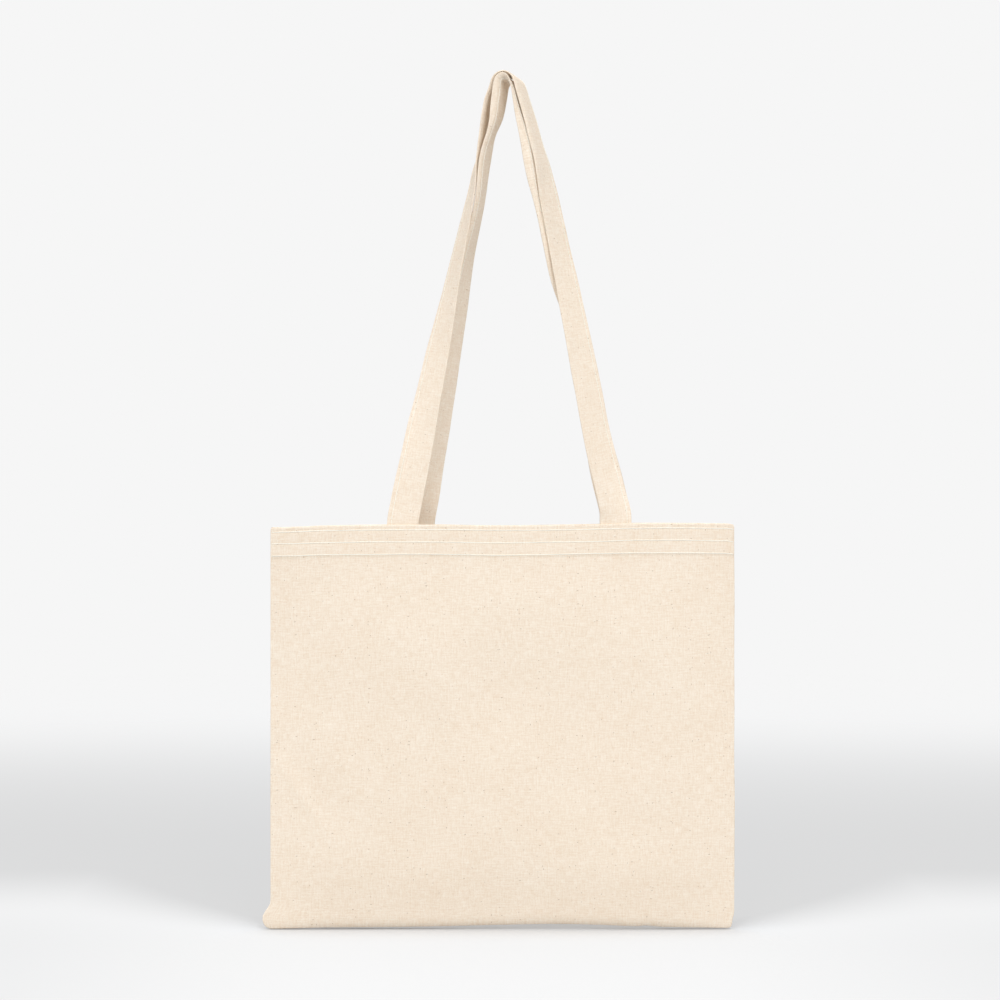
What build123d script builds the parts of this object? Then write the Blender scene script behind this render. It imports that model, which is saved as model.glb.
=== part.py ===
from build123d import *
import math
import os

# Canvas tote bag with two long handles, hanging by its handles. Millimetres, +Z up, front towards -Y.
# The origin is the hang point: the underside of the rear handle's loop, where a hook or a hand bears.

# Canvas body
bag_width = 400.0
bag_height = 350.0
mouth_depth = 30.0  # from canvas to canvas at the middle of the mouth, without the hem's swell
mouth_straight = 240.0  # width over which the mouth runs straight before it curves to the side seams
bottom_fullness = 0.2  # how far a panel already stands out at the bottom seam
canvas_thickness = 0.7
seam_allowance = 10.0
seam_room = 0.5  # between a panel and the allowance turned in behind it

# Hem at the mouth
hem_depth = 27.0
hem_turns = 2  # layers folded in behind the panel
hem_swell = 0.3  # how far the thick hem stands out beyond the plain canvas below it
hem_end_gap = 4.0  # between the hem's end and the side allowance
hem_rows = {"top": 4.3, "middle": 14.7, "lower": 25.5}  # stitch rows below the mouth's edge

# Handles
handle_rise = 387.0  # hang point above the mouth's edge
strap_width = 27.0
strap_thickness = 1.6
strap_end_length = 25.5  # sewn in behind the hem
front_left_foot = -85.5
front_right_foot = 97.0
rear_left_foot = -73.0
rear_right_foot = 96.0
front_left_bow = 2.0  # the front strap bows outwards on its way up
front_right_bow = 5.0
rear_left_bow = -1.5  # and the rear strap inwards
rear_right_bow = -4.0
foot_straight = 16.0  # the strap leaves the mouth square to it for this far
rear_bend_radius = 6.0  # inside of the bend over the hang point
front_bend_radius = 14.5
loop_gap = 1.5  # between the two straps at the top
strap_sections = 14  # slices along a leg

# Thread
thread_thickness = 0.3
row_height = 0.6  # width of a stitch row's line
edge_row_inset = 3.5  # topstitching from a strap's outer edge
seam_row_inset = 1.8  # seam stitching from the bag's edge
overlock_width = 4.0

# Clearances
thread_gap = 0.1
layer_gap = 0.3  # between the hem and a strap end
foot_gap = 0.4  # between a strap end and the free strap above it

mouth_half = mouth_depth / 2
seam_half = 2 * canvas_thickness + seam_room
hem_thickness = (1 + hem_turns) * canvas_thickness
hem_half_width = bag_width / 2 - seam_allowance - hem_end_gap
mouth_z = -handle_rise
bottom_z = mouth_z - bag_height
strap_end_depth = hem_thickness + layer_gap
strap_foot_y = mouth_half - strap_end_depth - strap_thickness / 2
slot_y = canvas_thickness + seam_room / 2


def fullness_at(z):
    """How far the straight middle of a panel stands out beyond its side seams at height z."""
    share = (z - bottom_z) / bag_height
    return bottom_fullness + (mouth_half - seam_half - bottom_fullness) * share


def add_front_layer(low_z, high_z, outer, inner):
    """Adds front canvas between two heights and two depths behind the panel's outside face."""
    edge_x = bag_width / 2
    bend_x = mouth_straight / 2
    slices = []
    for z in (low_z, high_z):
        with BuildSketch(Plane.XY.offset(z)) as canvas_slice:
            with BuildLine():
                for depth in (outer, inner):
                    edge_y = depth - seam_half
                    middle_y = edge_y - fullness_at(z)
                    TangentArc((-bend_x, middle_y), (-edge_x, edge_y), tangent=(-1, 0))
                    Line((-bend_x, middle_y), (bend_x, middle_y))
                    TangentArc((bend_x, middle_y), (edge_x, edge_y), tangent=(1, 0))
                for x in (-edge_x, edge_x):
                    Line((x, outer - seam_half), (x, inner - seam_half))
            make_face()
        slices.append(canvas_slice.sketch)
    loft(slices, ruled=True)


def keep_between(left_x, right_x, low_z, high_z):
    """Cuts the part being built to a span across the bag and a span of heights."""
    with Locations(((left_x + right_x) / 2, 0, (low_z + high_z) / 2)):
        Box(right_x - left_x, 2 * mouth_depth, high_z - low_z, mode=Mode.INTERSECT)


def add_block(x_span, y_span, z_span):
    """Adds a plain block between the given limits."""
    spans = (x_span, y_span, z_span)
    with Locations(tuple((low + high) / 2 for low, high in spans)):
        Box(*(high - low for low, high in spans))


# Panels: the outside canvas, the hem folded in at the mouth, and the allowances turned in along the seams

with BuildPart() as hem_fold:
    add_front_layer(mouth_z - hem_depth, mouth_z, -hem_swell, hem_thickness)
    keep_between(-hem_half_width, hem_half_width, mouth_z - hem_depth, mouth_z)

with BuildPart() as front_panel:
    add_front_layer(bottom_z, mouth_z, 0, canvas_thickness)
    add(hem_fold.part)
    half = bag_width / 2
    for side in (-1, 1):
        fold_x = sorted((side * (half - canvas_thickness), side * half))
        allowance_x = sorted((side * (half - seam_allowance), side * half))
        add_block(fold_x, (-seam_half, 0), (bottom_z, mouth_z))
        add_block(allowance_x, (-canvas_thickness, 0), (bottom_z, mouth_z))
    add_block((-half, half), (-seam_half, 0), (bottom_z, bottom_z + canvas_thickness))
    add_block((-half, half), (-canvas_thickness, 0), (bottom_z, bottom_z + seam_allowance))

with BuildPart() as back_panel:
    mirror(front_panel.part, about=Plane.XZ)

pieces = {"front_panel": front_panel, "back_panel": back_panel}

# Strap ends, sewn flat behind the hem

strap_feet = {
    "front_handle_left_end": (front_left_foot, False),
    "front_handle_right_end": (front_right_foot, False),
    "rear_handle_left_end": (rear_left_foot, True),
    "rear_handle_right_end": (rear_right_foot, True),
}

for name, (foot_x, at_back) in strap_feet.items():
    with BuildPart() as front_end:
        end_z = mouth_z - strap_end_length
        add_front_layer(end_z, mouth_z, strap_end_depth, strap_end_depth + strap_thickness)
        keep_between(foot_x - strap_width / 2, foot_x + strap_width / 2, end_z, mouth_z)
    with BuildPart() as strap_end:
        if at_back:
            mirror(front_end.part, about=Plane.XZ)
        else:
            add(front_end.part)
    pieces[name] = strap_end

# Stitch rows round the hem, lying on the outside face

for row, drop in hem_rows.items():
    with BuildPart() as front_row:
        row_low = mouth_z - drop - row_height / 2
        row_face = -hem_swell - thread_gap
        add_front_layer(row_low, row_low + row_height, row_face - thread_thickness, row_face)
    with BuildPart() as back_row:
        mirror(front_row.part, about=Plane.XZ)
    pieces[f"front_hem_{row}_row"] = front_row
    pieces[f"back_hem_{row}_row"] = back_row

# Seam stitching on both faces of the turned-in allowances, and overlocking round their raw edges

thread_y = (slot_y - thread_thickness / 2, slot_y + thread_thickness / 2)
both_faces = (thread_y, (-thread_y[1], -thread_y[0]))
wrap_y = (-thread_y[1], thread_y[1])
raw_x = bag_width / 2 - seam_allowance
raw_z = bottom_z + seam_allowance
web = (thread_gap, thread_gap + thread_thickness)

for name, side in (("left", -1), ("right", 1)):
    with BuildPart() as side_row:
        row_x = bag_width / 2 - seam_row_inset
        for y_span in both_faces:
            x_span = sorted((side * row_x, side * (row_x - row_height)))
            add_block(x_span, y_span, (raw_z, mouth_z - thread_gap))
    with BuildPart() as side_overlock:
        z_span = (raw_z + overlock_width, mouth_z - thread_gap)
        for y_span in both_faces:
            x_span = sorted((side * (raw_x - web[1]), side * (raw_x + overlock_width)))
            add_block(x_span, y_span, z_span)
        add_block(sorted((side * (raw_x - web[1]), side * (raw_x - web[0]))), wrap_y, z_span)
    pieces[f"{name}_seam_stitching"] = side_row
    pieces[f"{name}_seam_overlock"] = side_overlock

with BuildPart() as bottom_row:
    row_z = bottom_z + seam_row_inset
    for y_span in both_faces:
        add_block((-raw_x, raw_x), y_span, (row_z, row_z + row_height))

with BuildPart() as bottom_overlock:
    wrap_x = (overlock_width - raw_x, raw_x - overlock_width)
    for y_span in both_faces:
        add_block(wrap_x, y_span, (raw_z - overlock_width, raw_z + web[1]))
    add_block(wrap_x, wrap_y, (raw_z + web[0], raw_z + web[1]))

pieces["bottom_seam_stitching"] = bottom_row
pieces["bottom_seam_overlock"] = bottom_overlock

# Handles: each strap leaves the mouth flat, turns a quarter on its way up and bends over the hang point


def leg_planes(depth_side, side, foot_x, bow, bend_z, bend_middle_radius):
    """Slicing planes up one leg, with X from the strap's outer edge to its inner one.

    depth_side is -1 for the front strap and 1 for the rear, side is -1 for the left leg and 1 for the right.
    The last plane is square to the bend, and the angle that it leans from upright comes with the list.
    """
    start_y = depth_side * strap_foot_y
    start_z = mouth_z + foot_straight
    reach = abs(foot_x)
    rise = bend_z - start_z
    lean = math.atan2(reach, rise) - math.asin(bend_middle_radius / math.hypot(reach, rise))
    top_x = side * bend_middle_radius * math.cos(lean)
    top_z = bend_z + bend_middle_radius * math.sin(lean)
    foot = Plane((foot_x, start_y, mouth_z + foot_gap), x_dir=(-side, 0, 0), z_dir=(0, 0, 1))
    planes = [foot]
    for step in range(strap_sections + 1):
        share = step / strap_sections
        turn = math.radians(90) * share * share * (3 - 2 * share)
        bowed = side * bow * math.sin(math.pi * share)
        centre = (
            foot_x + (top_x - foot_x) * share + bowed,
            start_y * (1 - share),
            start_z + (top_z - start_z) * share,
        )
        along = Vector(-side * math.sin(lean), 0, math.cos(lean))
        across = Vector(-side * math.cos(lean), 0, -math.sin(lean))
        width = across * math.cos(turn) + Vector(0, depth_side, 0) * math.sin(turn)
        planes.append(Plane(centre, x_dir=width, z_dir=along))
    return planes, lean


def add_band(depth_side, feet, bows, bend_radius, bend_top, across, through):
    """Adds a band along a whole handle: up the left leg, over the bend and down the right leg.

    across is the band's span from the middle of the strap towards its inner edge.
    through is its span from the strap's middle layer towards the outside of the loop.
    """
    bend_z = bend_top - bend_radius
    middle_radius = bend_radius + strap_thickness / 2
    spot = sum(across) / 2
    size = (across[1] - across[0], through[1] - through[0])
    leans = []
    for side, foot_x, bow in zip((-1, 1), feet, bows):
        planes, lean = leg_planes(depth_side, side, foot_x, bow, bend_z, middle_radius)
        outward = -side * depth_side * sum(through) / 2
        slices = []
        for plane in planes:
            with BuildSketch(plane) as strap_slice:
                with Locations((spot, outward)):
                    Rectangle(*size)
            slices.append(strap_slice.sketch)
        loft(slices, ruled=True)
        leans.append(lean)
    bend = 180 - math.degrees(sum(leans))
    revolve(slices[-1].face(), axis=Axis((0, 0, bend_z), (0, -1, 0)), revolution_arc=bend)


strap_edge = strap_width / 2
strap_face = strap_thickness / 2
handles = {
    "front_handle": (
        -1,
        (front_left_foot, front_right_foot),
        (front_left_bow, front_right_bow),
        front_bend_radius,
        strap_thickness + loop_gap,
    ),
    "rear_handle": (
        1,
        (rear_left_foot, rear_right_foot),
        (rear_left_bow, rear_right_bow),
        rear_bend_radius,
        0,
    ),
}

for name, handle in handles.items():
    with BuildPart() as strap:
        add_band(*handle, (-strap_edge, strap_edge), (-strap_face, strap_face))
    with BuildPart() as edge_row:
        row_start = edge_row_inset - strap_edge
        row_across = (row_start, row_start + row_height)
        near = strap_face + thread_gap
        for through in ((near, near + thread_thickness), (-near - thread_thickness, -near)):
            add_band(*handle, row_across, through)
    pieces[name] = strap
    pieces[f"{name}_edge_stitching"] = edge_row

os.makedirs("parts", exist_ok=True)
for name, piece in pieces.items():
    piece.part.label = name
    export_step(piece.part, f"parts/{name}.step")
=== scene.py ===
"""Canvas tote bag with two long handles, dressed in cloth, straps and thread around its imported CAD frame."""

import logging
import math
from dataclasses import dataclass, field
from enum import Enum, IntEnum

import bpy
import numpy as np
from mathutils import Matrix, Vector


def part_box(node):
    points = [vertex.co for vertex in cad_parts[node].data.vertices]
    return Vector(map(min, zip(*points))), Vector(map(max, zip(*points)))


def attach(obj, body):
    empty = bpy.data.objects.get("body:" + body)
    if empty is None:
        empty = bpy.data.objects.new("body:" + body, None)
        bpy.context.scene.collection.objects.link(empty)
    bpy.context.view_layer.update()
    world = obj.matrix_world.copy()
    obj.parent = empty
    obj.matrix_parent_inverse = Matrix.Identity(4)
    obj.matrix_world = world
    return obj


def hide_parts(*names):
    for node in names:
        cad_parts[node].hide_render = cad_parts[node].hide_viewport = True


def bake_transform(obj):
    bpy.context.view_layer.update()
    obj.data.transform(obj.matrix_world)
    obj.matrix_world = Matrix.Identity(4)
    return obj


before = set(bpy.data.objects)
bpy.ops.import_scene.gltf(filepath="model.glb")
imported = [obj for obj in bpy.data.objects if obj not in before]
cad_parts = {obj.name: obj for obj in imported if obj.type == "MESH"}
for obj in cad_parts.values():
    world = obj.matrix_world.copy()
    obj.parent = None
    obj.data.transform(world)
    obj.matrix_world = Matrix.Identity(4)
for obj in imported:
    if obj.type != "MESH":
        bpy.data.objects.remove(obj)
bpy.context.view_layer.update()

PANEL_LOW, PANEL_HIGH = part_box("front_panel")
MM = 0.001
CLOTH_UV = "cloth"
log = logging.getLogger("tote")

# Rows of numbers for a curve to pass through: a place first, then the values there.
Stations = tuple[tuple[float, ...], ...]


class Half(Enum):
    """One of two opposite halves of the bag; the value is its direction along an axis."""

    @property
    def word(self) -> str:
        """The name as it stands in piece names."""
        return self.name.lower()


class Face(Half):
    """Which panel a piece belongs to; the value is the side of the bag along Y."""

    FRONT = -1
    BACK = 1


class Side(Half):
    """Which side edge of the bag; the value is its direction along X."""

    LEFT = -1
    RIGHT = 1


# Numbers along curves


def ease(t: np.ndarray) -> np.ndarray:
    """Smooth step from 0 to 1, flat at both ends."""
    t = np.clip(t, 0.0, 1.0)
    return t * t * (3 - 2 * t)


def ridge(d: np.ndarray, width: float) -> np.ndarray:
    """Bell of height 1 across a line, from the distance to it and its half width."""
    return np.exp(-((d / width) ** 2))


def through(at: np.ndarray, stations: Stations) -> np.ndarray:
    """Smooth curve through key stations that never swings past them.

    A cubic runs between neighbours; its slope at a station is the harmonic mean of the slopes either side,
    or level where they point opposite ways.

    Args:
        at: where the curve is read.
        stations: pairs of place and value.

    Returns:
        The curve's value at each place.
    """
    x, y = np.array(sorted(stations), float).T
    run = np.diff(x)
    slope = np.diff(y) / run
    both = slope[:-1] * slope[1:]
    mean = np.where(both > 0, 2 * both / np.where(both > 0, slope[:-1] + slope[1:], 1.0), 0.0)
    tilt = np.concatenate([[slope[0]], mean, [slope[-1]]])
    at = np.clip(at, x[0], x[-1])
    i = np.clip(np.searchsorted(x, at, side="right") - 1, 0, len(run) - 1)
    t = (at - x[i]) / run[i]
    rest = 1 - t
    value = y[i] * rest * rest * (1 + 2 * t) + y[i + 1] * t * t * (3 - 2 * t)
    return value + run[i] * t * rest * (tilt[i] * rest - tilt[i + 1] * t)


def softened(line: np.ndarray, reach: int) -> np.ndarray:
    """Each point of a line averaged with its neighbours under a raised-cosine window.

    Args:
        line: points, or values, one per row.
        reach: how many neighbours each way count.

    Returns:
        The line with its corners eased; its ends stay where they are.
    """
    window = np.hanning(2 * reach + 3)[1:-1]
    window /= window.sum()
    columns = line.reshape(len(line), -1)
    before = 2 * columns[0] - columns[reach:0:-1]
    after = 2 * columns[-1] - columns[-2 : -reach - 2 : -1]
    padded = np.concatenate([before, columns, after])
    eased = [np.convolve(column, window, mode="valid") for column in padded.T]
    return np.array(eased).T.reshape(line.shape)


def unit(vectors: np.ndarray) -> np.ndarray:
    """Vectors of length 1 in the same directions."""
    return vectors / np.maximum(np.linalg.norm(vectors, axis=-1, keepdims=True), 1e-12)


def lengths(*columns: np.ndarray) -> np.ndarray:
    """Distance along a line from its start: the running sum of its steps, from its points' coordinates."""
    steps = np.linalg.norm(np.diff(np.stack(columns, axis=1), axis=0), axis=1)
    return np.concatenate([[0], np.cumsum(steps)])


def read(at: np.ndarray, along: np.ndarray, points: np.ndarray) -> np.ndarray:
    """Points of a line, one per row, read at distances along it."""
    return np.stack([np.interp(at, along, column) for column in points.T], axis=1)


class Ripple:
    """Smooth random relief: values on a coarse lattice, eased from each lattice corner to the next."""

    SIZE = 128
    OFFSET = 1000.0

    def __init__(self, seed: int, cell_x: float, cell_z: float) -> None:
        """Draws the lattice's values.

        Args:
            seed: picks the lattice's values.
            cell_x: lattice spacing across.
            cell_z: lattice spacing along.
        """
        self.values = np.random.default_rng(seed).uniform(-1, 1, (self.SIZE, self.SIZE))
        self.cell_x = cell_x
        self.cell_z = cell_z

    def at(self, x: np.ndarray, z: np.ndarray) -> np.ndarray:
        """Relief from -1 to 1 at each place: the four corner values round it, eased both ways.

        Args:
            x: places across.
            z: places along.

        Returns:
            The relief.
        """
        a, b = x / self.cell_x + self.OFFSET, z / self.cell_z + self.OFFSET
        i, j = np.floor(a).astype(int), np.floor(b).astype(int)
        u, v = ease(a - i), ease(b - j)
        i, j, n = i % self.SIZE, j % self.SIZE, self.SIZE
        low = self.values[i, j] * (1 - u) + self.values[(i + 1) % n, j] * u
        high = self.values[i, (j + 1) % n] * (1 - u) + self.values[(i + 1) % n, (j + 1) % n] * u
        return low * (1 - v) + high * v


# Meshes


def chart(across: np.ndarray, along: np.ndarray) -> np.ndarray:
    """The pattern's coordinates on a grid: across by column and along by row."""
    return np.stack(np.broadcast_arrays(across[None, :], along[:, None]), axis=2)


def surface(
    name: str,
    points: np.ndarray,
    uv: np.ndarray,
    closed: bool = False,
    capped: bool = False,
    keep: np.ndarray | None = None,
    flip: bool = False,
) -> bpy.types.Object:
    """Makes a piece from a grid of points, one quad between each four neighbours.

    Args:
        name: the piece's name.
        points: grid of points, rows by columns by 3.
        uv: the pattern's coordinates in metres on the same grid, with one more column where closed.
        closed: joins the last column to the first.
        capped: closes a tube's two ends.
        keep: which quads are kept.
        flip: turns the faces round.

    Returns:
        The new object, linked to the scene.
    """
    rows, columns = points.shape[:2]
    index = np.arange(rows * columns).reshape(rows, columns)
    if closed:
        index = np.concatenate([index, index[:, :1]], axis=1)

    def corners(grid: np.ndarray) -> np.ndarray:
        """The four corners of each quad of a grid."""
        quads = [grid[:-1, :-1], grid[:-1, 1:], grid[1:, 1:], grid[1:, :-1]]
        return np.stack(quads[::-1] if flip else quads, axis=2)

    chosen = slice(None) if keep is None else keep
    used, flat = np.unique(corners(index)[chosen], return_inverse=True)
    polygons = flat.reshape(-1, 4).tolist()
    face_uv = [corners(uv)[chosen].reshape(-1, 2)]
    if capped:
        turn = -1 if flip else 1
        for end, way in ((0, -turn), (-1, turn)):
            polygons.append(np.searchsorted(used, index[end, :columns][::way]).tolist())
            face_uv.append(uv[end, :columns][::way])
    mesh = bpy.data.meshes.new(name)
    mesh.from_pydata(points.reshape(-1, 3)[used].tolist(), [], polygons)
    mesh.polygons.foreach_set("use_smooth", np.ones(len(polygons), bool))
    flat_uv = np.concatenate(face_uv).astype(np.float32).ravel()
    mesh.uv_layers.new(name=CLOTH_UV).data.foreach_set("uv", flat_uv)
    mesh.update()
    piece = bpy.data.objects.new(name, mesh)
    bpy.context.scene.collection.objects.link(piece)
    return piece


def tube(
    name: str,
    lines: list[np.ndarray],
    radius: float,
    out: list[np.ndarray],
    sides: int = 6,
    tall: float = 0.8,
) -> bpy.types.Object:
    """Makes a thread: an oval ring carried along each line, square to it.

    Args:
        name: the piece's name.
        lines: the threads' centrelines.
        radius: half the thread's width.
        out: for each line, which way its flatter side faces.
        sides: corners of a ring.
        tall: a ring's height as a share of its width.

    Returns:
        The new object, all its lines in one mesh.
    """
    angle = np.linspace(0, 2 * math.pi, sides + 1)[:-1, None]
    turn = np.linspace(0, 2 * math.pi * radius, sides + 1)
    made = []
    for part, (line, facing) in enumerate(zip(lines, out)):
        along = unit(np.gradient(line, axis=0))
        across = unit(np.cross(along, facing))
        over = np.cross(across, along)
        ring = np.cos(angle) * across[:, None] + tall * np.sin(angle) * over[:, None]
        uv = chart(turn, lengths(*line.T))
        points = line[:, None] + radius * ring
        made.append(surface(f"{name}_{part}", points, uv, closed=True, capped=True, flip=True))
    return joined(name, made)


def joined(name: str, parts: list[bpy.types.Object]) -> bpy.types.Object:
    """Joins several new objects into the first one.

    Args:
        name: the name of the whole.
        parts: the objects.

    Returns:
        The first object, which now holds them all.
    """
    with bpy.context.temp_override(active_object=parts[0], selected_editable_objects=parts):
        if len(parts) > 1:
            bpy.ops.object.join()
    parts[0].name = name
    parts[0].data.name = name
    return parts[0]


def dressed(
    piece: bpy.types.Object,
    finish: bpy.types.Material,
    nodes: list[str],
    body: str | None = "bag",
) -> bpy.types.Object:
    """Gives a piece its finish and hides the CAD nodes that it stands for.

    Args:
        piece: the new piece.
        finish: its material.
        nodes: the CAD nodes that it stands for.
        body: the body that it rides on, or None to leave it unattached.

    Returns:
        The same piece.
    """
    piece.data.materials.append(finish)
    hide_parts(*nodes)
    if body:
        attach(piece, body)
    return piece


# Shader maths


class Shade:
    """A shader socket that ordinary arithmetic works on; each operation adds its Math node."""

    def __init__(self, graph: "Graph", socket: bpy.types.NodeSocket) -> None:
        """Wraps one output socket."""
        self.graph = graph
        self.socket = socket

    def __add__(self, other: "Shade | float") -> "Shade":
        """Sum."""
        return self.graph.math("ADD", self, other)

    def __sub__(self, other: "Shade | float") -> "Shade":
        """Difference."""
        return self.graph.math("SUBTRACT", self, other)

    def __rsub__(self, other: float) -> "Shade":
        """Difference from a number."""
        return self.graph.math("SUBTRACT", other, self)

    def __mul__(self, other: "Shade | float") -> "Shade":
        """Product."""
        return self.graph.math("MULTIPLY", self, other)

    def __gt__(self, other: "Shade | float") -> "Shade":
        """1 where greater, 0 elsewhere."""
        return self.graph.math("GREATER_THAN", self, other)

    def __lt__(self, other: "Shade | float") -> "Shade":
        """1 where smaller, 0 elsewhere: the form that a number on the left of > takes."""
        return self.graph.math("LESS_THAN", self, other)

    def __abs__(self) -> "Shade":
        """Size without sign."""
        return self.graph.math("ABSOLUTE", self)

    __radd__ = __add__
    __rmul__ = __mul__

    def sine(self) -> "Shade":
        """Sine of an angle in radians."""
        return self.graph.math("SINE", self)

    def bounded(self, high: float = 1.0) -> "Shade":
        """Held between 0 and a highest value."""
        return self.graph.math("MINIMUM", self.graph.math("MAXIMUM", self, 0.0), high)


class Graph:
    """A material's or world's node tree, filled from nothing."""

    def __init__(self, tree: bpy.types.NodeTree) -> None:
        """Empties the tree."""
        self.tree = tree
        tree.nodes.clear()

    def node(self, kind: str, settings: dict | None = None, **inputs: object) -> bpy.types.Node:
        """Adds a node.

        Args:
            kind: the node's type.
            settings: the node's own settings, set first.
            inputs: values or links by socket name, with _ for a space, or in0, in1 for a socket by number.

        Returns:
            The new node.
        """
        made = self.tree.nodes.new(kind)
        for key, value in (settings or {}).items():
            setattr(made, key, value)
        for key, value in inputs.items():
            number = key[2:] if key.startswith("in") and key[2:].isdigit() else None
            socket = made.inputs[int(number)] if number else made.inputs[key.replace("_", " ")]
            if isinstance(value, Shade):
                self.tree.links.new(value.socket, socket)
            else:
                socket.default_value = value
        return made

    def out(self, made: bpy.types.Node, name: str | int = 0) -> Shade:
        """One output of a node."""
        return Shade(self, made.outputs[name])

    def math(self, operation: str, *values: "Shade | float") -> Shade:
        """A Math node on one or two values."""
        inputs = {f"in{i}": value for i, value in enumerate(values)}
        return self.out(self.node("ShaderNodeMath", {"operation": operation}, **inputs))

    def vector(self, x: "Shade | float", y: "Shade | float", z: "Shade | float" = 0.0) -> Shade:
        """A vector from three values."""
        return self.out(self.node("ShaderNodeCombineXYZ", X=x, Y=y, Z=z))

    def parts(self, vector: Shade) -> tuple[Shade, ...]:
        """The three values of a vector."""
        split = self.node("ShaderNodeSeparateXYZ", Vector=vector)
        return tuple(self.out(split, axis) for axis in "XYZ")

    def noise(self, place: Shade, detail: float = 2.0) -> Shade:
        """Soft noise from 0 to 1, one lump per unit of place."""
        settings = {"Vector": place, "Scale": 1.0, "Detail": detail, "Roughness": 0.55}
        return self.out(self.node("ShaderNodeTexNoise", **settings))

    def between(self, value: Shade, low: "Shade | float", high: "Shade | float") -> Shade:
        """Eased from 0 at the low value to 1 at the high one."""
        settings = {"interpolation_type": "SMOOTHSTEP"}
        return self.out(self.node("ShaderNodeMapRange", settings, Value=value, From_Min=low, From_Max=high))

    def mix(
        self, share: "Shade | float", first: "Shade | tuple", second: "Shade | tuple", blend: str = "MIX"
    ) -> Shade:
        """A colour between two others, or their product."""
        settings = {"data_type": "RGBA", "blend_type": blend}
        return self.out(self.node("ShaderNodeMix", settings, in0=share, in6=first, in7=second), 2)

    def layered(self, share: Shade, under: bpy.types.Node, upper: bpy.types.Node) -> bpy.types.Node:
        """One shader over another, by share."""
        return self.node("ShaderNodeMixShader", in0=share, in1=self.out(under), in2=self.out(upper))


def colour(red: float, green: float, blue: float) -> tuple[float, float, float, float]:
    """Linear colour from a screen colour, by the standard screen curve.

    Args:
        red: red, from 0 to 255.
        green: green.
        blue: blue.

    Returns:
        Red, green, blue and alpha.
    """
    share = np.array([red, green, blue]) / 255
    linear = np.where(share <= 0.04045, share / 12.92, ((share + 0.055) / 1.055) ** 2.4)
    return (*linear.tolist(), 1.0)


# Finishes


class Slice(IntEnum):
    """Which slice of the noise a pattern of the canvas is cut from, so that no two patterns match."""

    STRAY_ACROSS = 0
    SLUB_ACROSS = 3
    SLUB_ALONG = 5
    STRAY_ALONG = 7
    MOTTLE = 11
    GRAIN = 13
    FLECK_BEND = 19


class Finish:
    """What every finish shares: a material on the pieces' own cloth map, ended as a rough bumped surface."""

    name: str
    roughness: float
    bump: float
    bump_depth: float

    def start(self) -> tuple[bpy.types.Material, Graph, Shade, Shade]:
        """Starts the material.

        Returns:
            The material, its graph, and the places across and along in metres.
        """
        made = bpy.data.materials.new(self.name)
        made.use_nodes = True
        g = Graph(made.node_tree)
        u, v, _ = g.parts(g.out(g.node("ShaderNodeUVMap", {"uv_map": CLOTH_UV})))
        return made, g, u, v

    def end(self, g: Graph, base: Shade, height: Shade, **more: float) -> None:
        """Ends the material.

        Args:
            g: its graph.
            base: its colour.
            height: its bump's height.
            more: further values of the surface.
        """
        bump = g.node("ShaderNodeBump", Strength=self.bump, Distance=self.bump_depth, Height=height)
        settings = {"Base_Color": base, "Roughness": self.roughness, "Normal": g.out(bump)}
        shader = g.node("ShaderNodeBsdfPrincipled", **settings, **more)
        g.node("ShaderNodeOutputMaterial", Surface=g.out(shader))


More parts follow.
